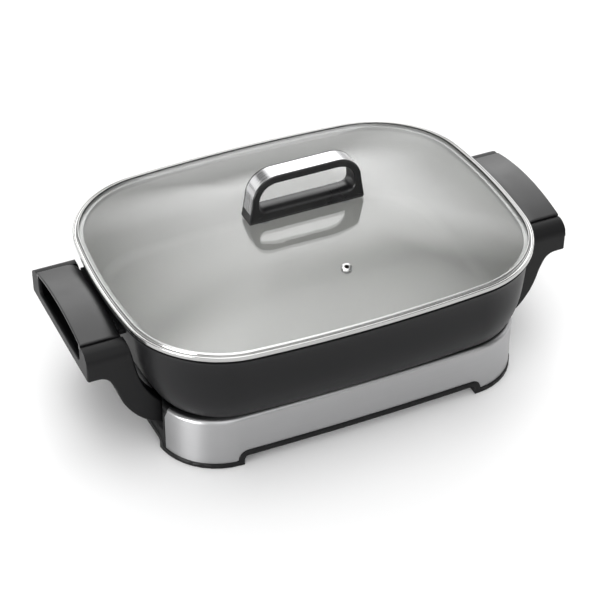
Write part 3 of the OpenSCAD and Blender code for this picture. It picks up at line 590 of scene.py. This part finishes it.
def loop(o, z, share=1):
    """An outline as a closed ring at a height, or a share of it."""
    half_length, half_width, front, end, corner = o
    middle, end_turn, front_turn = corner_of(o)
    arcs = [((half_length - end, 0), end, 0, end_turn, 10), (middle, corner, end_turn, front_turn, 26),
            ((0, half_width - front), front, front_turn, math.pi / 2, 16)]
    first = [(c[0] + r * math.cos(a), c[1] + r * math.sin(a)) for c, r, low, high, n in arcs
             for a in spread(low, high, n)[:-1]]
    second = [(-x, y) for x, y in reversed(first[1:] + [(0, half_width)])]
    ring = first + second
    ring += [(-x, -y) for x, y in ring]
    return [(share * x, share * y, z) for x, y in ring]


def pan_at(z):
    """The wall's outline at a height."""
    t = (z - pan_low) / (wall_top - pan_low)
    return [f + (r - rim_over - f) * t + swell(z) for f, r in zip(FOOT, RIM)]


def lean(z):
    """The turn by which the wall leans out at a height, measured over one millimetre."""
    return math.atan(wall_x(z + 0.5) - wall_x(z - 0.5))


def pan_rows():
    """The pan's rings: from its foot up the outside and over the lip, and down the inside to its floor."""
    edge = [(pan_edge * (1 - math.sin(a)), pan_low + pan_edge * (1 - math.cos(a)))
            for a in spread(0, math.pi / 2, 8)]
    under = [loop(grown(FOOT, -foot_flat), pan_low)] + [loop(grown(pan_at(z), -off), z) for off, z in edge]
    side = [loop(pan_at(z), z) for z in spread(pan_low + pan_edge, wall_top, 16)[1:]]
    lip = [(-2.3, -4.1), (-1.6, -3.6), (-1.2, -3.1), (-1.2, -2.6), (-1.5, -2.2), (-2, -2), (-3.8, -1.9),
           (-4, -1.7), (-4, -0.4), (-4.2, 0), (-8.4, 0)]
    bead = [loop(grown(RIM, off), pan_seat + z) for off, z in lip]
    turn = [(-8.9, -0.2), (-9.2, -0.7), (-9.2, -6)]
    inner = [loop(grown(RIM, off), pan_seat + z) for off, z in turn]
    floor = pan_low + pan_wall
    tilt = lean(floor + pan_fillet / 2)
    bowl = floor + pan_fillet * (1 - math.sin(tilt))
    inner += [loop(grown(pan_at(z), -pan_wall / math.cos(lean(z))), z)
              for z in spread(wall_top - lip_deep, bowl + 5, 9)]
    base = grown(pan_at(bowl), -pan_wall / math.cos(tilt) - pan_fillet * math.cos(tilt))
    inner += [loop(grown(base, pan_fillet * math.cos(a)), floor + pan_fillet * (1 - math.sin(a)))
              for a in spread(tilt, math.pi / 2, 10)]
    inner += [loop(grown(base, -d), floor) for d in (6, 20)]
    return under + side + bead, inner


def sprayed(name, dark, light, rough, grain, gloss_level=0.5, depth=0.1):
    """A sprayed and baked coat: satin, with the orange peel of the spray.
    The peel is near 0.5 mm; it is drawn coarser, so that it shows."""
    cloud = 45
    material, tree, skin, place = finish_of(name, IOR=1.5, Specular_IOR_Level=gloss_level)
    peel = add(tree, "ShaderNodeTexNoise", {"Vector": place}, {"Scale": per_mm(grain), "Detail": 3})
    drift = add(tree, "ShaderNodeTexNoise", {"Vector": place}, {"Scale": per_mm(cloud), "Detail": 2})
    mottled(tree, skin, drift.outputs["Fac"], dark, light, rough - 0.03, rough + 0.05)
    relief = add(tree, "ShaderNodeBump", {"Height": peel.outputs["Fac"]},
                 {"Strength": depth, "Distance": 0.08 * MM})
    tree.links.new(relief.outputs["Normal"], skin.inputs["Normal"])
    return material


black_coat = sprayed("black_coat_satin", "#141415", "#1a1a1b", rough=0.36, grain=1.2, gloss_level=0.13)
grey_ceramic = sprayed("grey_ceramic_coat", "#949391", "#9d9c9a", rough=0.42, grain=1.6, gloss_level=0.4,
                       depth=0.04)
outside, inside = pan_rows()
pan_mesh = skinned("pan", outside + inside, crease=40)
fitted("pan_casting", pan_mesh, black_coat, "pan", "pan_coat", "pan_shell")
pan_mesh.materials.append(grey_ceramic)
for face in pan_mesh.polygons:
    middle = face.center
    facing_in = face.normal.x * middle.x + face.normal.y * middle.y < -1e-5
    on_floor = face.normal.z > 0.9 and middle.z < wall_top * MM
    if middle.z > (pan_low + 1) * MM and (facing_in or on_floor):
        face.material_index = 1
coat(black_coat, "pan_ears")


# Heater and inlet: a tubular element in an aluminium channel below the pan, its two terminal pins in
# ceramic bushings, a sensor sleeve, and a black enamelled guard held by two studs.

# Heat turns the steel sheath dark and dull; enamel is glossy, and unglazed steatite is matt and creamy.
# The same dark steel finish is put in the steam vent's bore as painted shade.
oxide_and_bore_shade = metal("steel_oxide_and_painted_bore_shade", "#37332f", "#4a4641", rough=0.5, marks=(12, 12, 2), depth=0.1)[0]
enamel = sprayed("black_enamel", "#121213", "#181819", rough=0.26, grain=2)
ceramic = sprayed("steatite_unglazed", "#ded8ca", "#e9e4d8", rough=0.7, grain=1)
coat(oxide_and_bore_shade, "heating_element")
coat(plated_steel, "terminal_pins", "sensor_sleeve", "guard_studs", "lid_screws")
coat(ceramic, "pin_bushings")
coat(enamel, "inlet_guard")


# Lid glass: one tempered pane, sagged over a mould to a shallow dome with a flat crown, with holes for
# the vent and for the screws of the handle.

glass_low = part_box("lid_glass")[0].z / MM
glass_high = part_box("lid_glass")[1].z / MM
glass_thick, flat_part, dome_power, glass_in = 3.9, 0.3, 1.5, 4.2
dome_rise = glass_high - glass_low - glass_thick
GLASS = grown(RIM, -glass_in)
vent_low, vent_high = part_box("steam_vent")
vent_middle = (vent_low + vent_high) / 2 / MM
handle_long, screw_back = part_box("lid_handle")[1].x / MM, 17
vent_hole, screw_hole, glass_crease = 3.2, 3, 40


def dome(k):
    """The rise of the glass at a share of the way out to its edge."""
    return dome_rise * (1 - (max(0, k - flat_part) / (1 - flat_part)) ** dome_power)


def dome_rows():
    """The pane's rings: out along its lower face, and in again along its upper one."""
    shares = [0.12, 0.22] + spread(flat_part, 1, 22)
    below = [loop(GLASS, glass_low + dome(k), k) for k in shares]
    above = [loop(GLASS, glass_low + glass_thick + dome(k), k) for k in reversed(shares)]
    return below + above


# Soda-lime glass is clear with a breath of green. Light from lamps passes through it to the pan.
clear_glass, tree, skin, place = finish_of("soda_lime_glass", IOR=1.5, Roughness=0, Transmission_Weight=1)
haze_wide = 90
haze = add(tree, "ShaderNodeTexNoise", {"Vector": place}, {"Scale": per_mm(haze_wide), "Detail": 3})
tint = add(tree, "ShaderNodeMix", {"Factor": haze.outputs["Fac"]},
           {"A": linear("#fafcfb"), "B": linear("#ffffff")}, data_type="RGBA")
tree.links.new(tint.outputs["Result"], skin.inputs["Base Color"])
path = add(tree, "ShaderNodeLightPath")
open_way = add(tree, "ShaderNodeBsdfTransparent", values={"Color": linear("#f4f7f5")})
both = add(tree, "ShaderNodeMixShader", {0: path.outputs["Is Shadow Ray"], 1: skin.outputs["BSDF"],
                                         2: open_way.outputs["BSDF"]})
tree.links.new(both.outputs["Shader"], tree.nodes["Material Output"].inputs["Surface"])
glass_mesh = skinned("glass", dome_rows(), crease=glass_crease)
glass = fitted("lid_pane", glass_mesh, clear_glass, "lid", "glass", "lid_glass")
glass_half, near = GLASS[1], 0.01
out = -vent_middle.y / glass_half
vent_axis = Vector((0, dome(out + near) - dome(out - near), 2 * near * glass_half)).normalized()
screw_spots = [Vector((s * (handle_long - screw_back), 0, glass_high)) for s in (-1, 1)]
drilled(glass, [(vent_middle, vent_axis, vent_hole)]
        + [(spot, Vector((0, 0, 1)), screw_hole) for spot in screw_spots])
shaded(glass_mesh, glass_crease)


# Lid ring: one strip of polished stainless, roll-formed round the edge of the glass with an outer bead, a
# narrow lip over the pane, a flange below it and a skirt that centres the lid in the pan.

skirt_tall, satin_high = 3.5, 0.6
ring_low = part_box("lid_ring")[0].z / MM + skirt_tall
ring_top = glass_low + glass_thick


def ring_rows():
    """The strip's rings: up its bead, over the lip, back below the pane and round the skirt. Each is a
    distance out from the rim and a height."""
    z, t = ring_low, ring_top
    bead = [(-0.7, z), (-0.3, z + 0.15), (-0.08, z + 0.4), (0, z + 0.8), (0, z + 2.2), (0, t - 1.2),
            (-0.1, t - 0.8), (-0.3, t - 0.45), (-0.65, t - 0.24), (-1.05, t - 0.2), (-1.4, t - 0.3),
            (-1.7, t - 0.6), (-1.9, t - 0.92)]
    lip = [(-2.8, t - 0.92), (-2.95, t - 0.4), (-3.2, t + 0.38), (-3.45, t + 0.68), (-3.8, t + 0.88),
           (-4.6, t + 1.17), (-5, t + 1.3), (-5.25, t + 1.33), (-5.4, t + 1.2), (-5.3, t + 0.92)]
    below = [(-4.6, t + 0.64), (-3.95, t + 0.38), (-3.65, t - 0.5), (-3.4, t - 1.4), (-2.5, t - 1.5),
             (-1.5, t - 1.45), (-0.9, t - 1.3), (-0.6, t - 1.7), (-0.6, z + 1), (-0.9, z + 0.55)]
    skirt = [(-10, z + 0.5), (-10.5, z), (-10.5, z - 3.3), (-10.2, z - skirt_tall), (-9.9, z - 3.3),
             (-9.9, z - 0.2), (-9.5, z)]
    return [loop(grown(RIM, off), level) for off, level in bead + lip + below + skirt]


# The rolls polish the bead, which mirrors the room softly. The underside and skirt stay duller.
polished = metal("stainless_polished", "#b0b0af", "#bcbcbb", rough=0.2, marks=(30, 30, 6), depth=0.01)[0]
satin_steel = metal("stainless_satin", "#80807f", "#8c8c8b", rough=0.34, marks=(30, 30, 6), depth=0.02)[0]
ring_mesh = skinned("ring", ring_rows(), endless=True, crease=50)
fitted("lid_ring_steel", ring_mesh, polished, "lid", "ring_steel", "lid_ring")
ring_mesh.materials.append(satin_steel)
for face in ring_mesh.polygons:
    face.material_index = 1 if face.center.z < (ring_low + satin_high) * MM else 0


# Steam vent: an eyelet of polished stainless, square to the dome.
# It is pressed through its hole in the pane and flared on both sides, which holds it.

vent_bore, vent_neck, vent_flare, bore_slack = 2, 3.1, 5, 0.1


def vent_rows():
    """The eyelet's section, once for each step round its axis."""
    bore, neck, flare, edge, half = vent_bore, vent_neck, vent_flare, 0.55, glass_thick / 2 + 0.1
    lip = [(bore, -half - 0.9), (bore, half + 0.9), (bore + 0.3, half + 1.15), (bore + 0.9, half + 1.2),
           (flare - edge, half + 0.75), (flare - 0.15, half + 0.5), (flare, half + 0.2), (flare - 0.2, half)]
    lower = [(neck, half), (neck, -half), (flare - 0.2, -half), (flare, -half - 0.3),
             (flare - edge, -half - 0.8), (bore + 0.5, -half - 1.15)]
    turn = Vector((0, 0, 1)).rotation_difference(vent_axis)
    rows = []
    for a in spread(0, 2 * math.pi, 48)[:-1]:
        ring = [turn @ Vector((r * math.cos(a), r * math.sin(a), z)) + vent_middle for r, z in lip + lower]
        rows.append([tuple(p) for p in ring])
    return rows


# Painted shade: the bore gets the heater's dark steel finish, so the hole looks dark from above, where there
# is really only shade down the hole.
vent_mesh = skinned("vent", vent_rows(), endless=True)
fitted("steam_vent_eyelet", vent_mesh, polished, "lid", "ring_steel", "steam_vent")
vent_mesh.materials.append(oxide_and_bore_shade)
for face in vent_mesh.polygons:
    off_axis = (face.center / MM - vent_middle).cross(vent_axis).length
    face.material_index = 1 if off_axis < vent_bore + bore_slack else 0


# Lid handle: a phenolic loop that stands on the crown of the glass, held by two screws through the pane.
# Its upper bar is slim, and its lower bar is broad, with a gently crowned top that shines.

loop_low, loop_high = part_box("lid_handle")
loop_half, loop_deep = loop_high.x / MM, loop_high.y / MM
loop_z, loop_top = loop_low.z / MM, loop_high.z / MM
loop_round, loop_flare, loop_edge = 24.5, 3.5, 1.1
strip_half, strip_sheet, strip_up = 8, 0.8, 9
strip_foot = loop_z + strip_up
strip_from = strip_foot - 0.05
groove_in, groove_out = strip_half + 0.2, strip_half + 0.3
leg_thick, bar_thick, hole_deep, bar_crown = 10.2, 7.6, 33.6, 16
hole_half, hole_top, hole_bottom = loop_half - leg_thick, loop_top - bar_thick, loop_top - hole_deep
hole_low_round, hole_high_round = 6.5, 17


def arc(x, z, r, low, high, count):
    """Points along an arc between two turns in degrees."""
    return [(x + r * math.cos(math.radians(a)), z + r * math.sin(math.radians(a)))
            for a in spread(low, high, count)]


def line(a, b, count):
    """Points along a straight line."""
    return [(a[0] + (b[0] - a[0]) * t, a[1] + (b[1] - a[1]) * t) for t in spread(0, 1, count)]


def loop_outside():
    """The loop's outer line in its side view, from the lower left corner round to the left side again."""
    c, r = loop_half - loop_round - loop_flare, loop_round
    foot_x = loop_half - loop_flare * (strip_foot - loop_z) / (loop_top - r - loop_z)
    right = line((loop_half, loop_z), (foot_x, strip_foot - 0.15), 6)
    right += line((foot_x, strip_foot), (c + r, loop_top - r), 8)[:-1]
    left = [(-x, z) for x, z in reversed(right)]
    crown = arc(c, loop_top - r, r, 0, 90, 16) + line((c, loop_top), (-c, loop_top), 16)[1:-1]
    crown += arc(-c, loop_top - r, r, 90, 180, 16)
    return line((-loop_half, loop_z), (loop_half, loop_z), 20)[1:-1] + right + crown + left


def loop_inside(drop, widen):
    """The hole's line, point for point with the outer one. Its lower edge is dropped towards the faces."""
    low, high = hole_bottom - drop - widen, hole_top + widen
    half, s, r = hole_half + widen, hole_low_round + widen, hole_high_round + widen
    right = arc(half - s, low + s, s, -90, 0, 6) + line((half, low + s), (half, high - r), 9)[1:-1]
    left = [(-x, z) for x, z in reversed(right)]
    crown = arc(half - r, high - r, r, 0, 90, 16) + line((half - r, high), (r - half, high), 16)[1:-1]
    crown += arc(r - half, high - r, r, 90, 180, 16)
    return line((s - half, low), (half - s, low), 20)[1:-1] + right + crown + left


def loop_rows():
    """The outer and inner lines of the loop at each depth. Its edges are rounded, and the strip's groove
    runs along its middle."""
    depths = [loop_deep - loop_edge * (1 - math.sin(a)) for a in spread(0, math.pi / 2, 4)]
    depths += [2, 4, 6, groove_in, groove_out]
    stops = sorted([s * y for y in depths for s in (-1, 1)] + [0])
    shape, skim = loop_outside(), 0.06
    outer, inner = [], []
    for y in stops:
        near = max(0, abs(y) - loop_deep + loop_edge)
        inset = loop_edge - math.sqrt(max(0, loop_edge ** 2 - near ** 2))
        soft = drawn_in(shape, inset + skim)
        deep = drawn_in(shape, strip_sheet + skim)
        grooved = abs(y) < groove_out
        ring = [b if grooved and p[1] > strip_from else a for p, a, b in zip(shape, soft, deep)]
        outer.append([(x, y, z) for x, z in ring])
        drop = bar_crown - math.sqrt(bar_crown ** 2 - y * y)
        inner.append([(x, y, z) for x, z in loop_inside(drop, inset)])
    return outer, inner


loop_plastic = phenolic("black_phenolic_satin", "#0b0b0c", "#111112", rough=0.3, gloss_level=0.5)
outer, inner = loop_rows()
handle_form = skinned("loop", outer + list(reversed(inner)), endless=True, crease=40)
fitted("lid_handle_loop", handle_form, loop_plastic, "lid", "black_plastic", "lid_handle")


# Handle strip: a ribbon of stainless sheet, brushed along its length and bent down the loop's two legs.
# It lies in the groove along the top of the loop, and its long edges are eased.

def strip_rows():
    """The ribbon's section at each point of the loop's outer line, as places across it and depths below."""
    shape = loop_outside()
    normal = [Vector((b[0] - a[0], b[1] - a[1])).normalized()
              for a, b in zip([shape[-1]] + shape[:-1], shape[1:] + [shape[0]])]
    half = [(strip_half, 0.75), (strip_half, 0.45), (strip_half - 0.15, 0.2), (strip_half - 0.6, 0.08),
            (4, 0.06), (1.5, 0.05)]
    section = [(-y, inset) for y, inset in half] + list(reversed(half))
    rows = []
    for p, way in zip(shape, normal):
        if p[1] > strip_from:
            rows.append([(p[0] - way.y * inset, y, p[1] + way.x * inset) for y, inset in section])
    return rows


# The real lines are near 0.2 mm apart; they are drawn at 0.6 mm, so that they show.
brushed_strip, tree, skin = metal("stainless_brushed_strip", "#b6b6b7", "#c1c1c2", rough=0.24,
                                  marks=(60, 0.6, 60), depth=0.02)
skin.inputs["Anisotropic"].default_value = 0.4
strip_mesh = skinned("strip", strip_rows(), crease=40)
fitted("handle_strip_steel", strip_mesh, brushed_strip, "lid", "band_steel", "handle_strip")


# Studio: a floor of matt pale paper, a dim sky with five soft bright patches, three soft boxes, and the
# camera where the photograph was taken from. The floor and the boxes are laid out in metres.

floor_mesh = bpy.data.meshes.new("floor")
floor_half = 20
floor_edge = [(-floor_half, -floor_half, 0), (floor_half, -floor_half, 0), (floor_half, floor_half, 0),
              (-floor_half, floor_half, 0)]
floor_mesh.from_pydata(floor_edge, [], [(0, 1, 2, 3)])
floor = bpy.data.objects.new("floor", floor_mesh)
bpy.context.scene.collection.objects.link(floor)
paper = finish_of("studio_paper", Roughness=0.9, Specular_IOR_Level=0.1, Base_Color=linear("#f2f2f2"),
                  Emission_Color=linear("#ffffff"), Emission_Strength=0.02)[0]
floor_mesh.materials.append(paper)

world = bpy.data.worlds.new("studio")
world.use_nodes = True
tree = world.node_tree
sky_dim = 0.33
# Each soft patch of sky: the way to its middle, the cosines at its rim and core, and its brightness.
patches = [((0.33, 0.72, 0.61), 0.88, 0.995, 2.75),  # above the rear
           ((0.2, 0.97, 0.1), 0.8, 0.99, 0.55),  # low behind
           ((-0.1, -0.72, 0.69), 0.8, 0.98, 1.7),  # above the front
           ((0.66, 0.7, 0.28), 0.93, 0.995, 0.6),  # low behind, on the right
           ((0, 0.1, 0.99), 0.85, 0.99, 3.0)]  # overhead
way = add(tree, "ShaderNodeTexCoord").outputs["Generated"]
sky = add(tree, "ShaderNodeValue")
sky.outputs["Value"].default_value = sky_dim
for middle, rim, core, bright in patches:
    facing = add(tree, "ShaderNodeVectorMath", {0: way}, {1: middle}, operation="DOT_PRODUCT")
    patch = add(tree, "ShaderNodeMapRange", {"Value": facing.outputs["Value"]},
                {"From Min": rim, "From Max": core, "To Min": 0, "To Max": bright},
                interpolation_type="SMOOTHSTEP")
    sky = add(tree, "ShaderNodeMath", {0: sky.outputs["Value"], 1: patch.outputs["Result"]}, operation="ADD")
tree.links.new(sky.outputs["Value"], tree.nodes["Background"].inputs["Strength"])
tree.nodes["Background"].inputs["Color"].default_value = (1, 1, 1, 1)
bpy.context.scene.world = world


aim = Vector((0, 0, 0.08))


def soft_box(name, place, width, height, power):
    """A rectangular lamp that points at the middle of the skillet."""
    lamp = bpy.data.lights.new(name, "AREA")
    lamp.shape, lamp.size, lamp.size_y, lamp.energy = "RECTANGLE", width, height, power
    stand = bpy.data.objects.new(name, lamp)
    bpy.context.scene.collection.objects.link(stand)
    stand.location = place
    stand.rotation_euler = (aim - Vector(place)).to_track_quat("-Z", "Y").to_euler()
    return stand


# A flag keeps the left box off the pane, where its mirror image would cut into the lid's outline.
left_box = soft_box("box_left", (-1.6, -0.75, 0.17), width=0.9, height=0.32, power=24)
flagged = bpy.data.collections.new("off_left_box")
flagged.objects.link(glass)
flagged.collection_objects[0].light_linking.link_state = "EXCLUDE"
left_box.light_linking.receiver_collection = flagged
soft_box("box_right", (1.7, 0.0, 0.75), width=0.9, height=1.0, power=3)
soft_box("box_rear", (-1.2, 1.4, 0.7), width=0.8, height=0.8, power=3)

view_turn, view_rise, view_roll = math.radians(-25.19), math.radians(37.507), math.radians(0.447)
view_far, view_focus, picture = 1834.53, 1963.25, 600
middle_x, middle_y = 305.05, 296.75
view_aim = Vector((2.06, -1.07, 60))
back = Vector((math.sin(view_turn) * math.cos(view_rise), -math.cos(view_turn) * math.cos(view_rise),
               math.sin(view_rise)))
lens = bpy.data.cameras.new("camera")
lens.sensor_width = 36
lens.lens = view_focus / picture * lens.sensor_width
lens.shift_x, lens.shift_y = (picture / 2 - middle_x) / picture, (middle_y - picture / 2) / picture
camera = bpy.data.objects.new("camera", lens)
bpy.context.scene.collection.objects.link(camera)
right = (-back).cross(Vector((0, 0, 1))).normalized()
up = right.cross(-back)
level = Matrix((right, up, back)).transposed().to_4x4()
stand_at = Matrix.Translation((view_aim + back * view_far) * MM)
camera.matrix_world = stand_at @ level @ Matrix.Rotation(view_roll, 4, "Z")
bpy.context.scene.camera = camera
bpy.context.scene.view_settings.view_transform = "Standard"
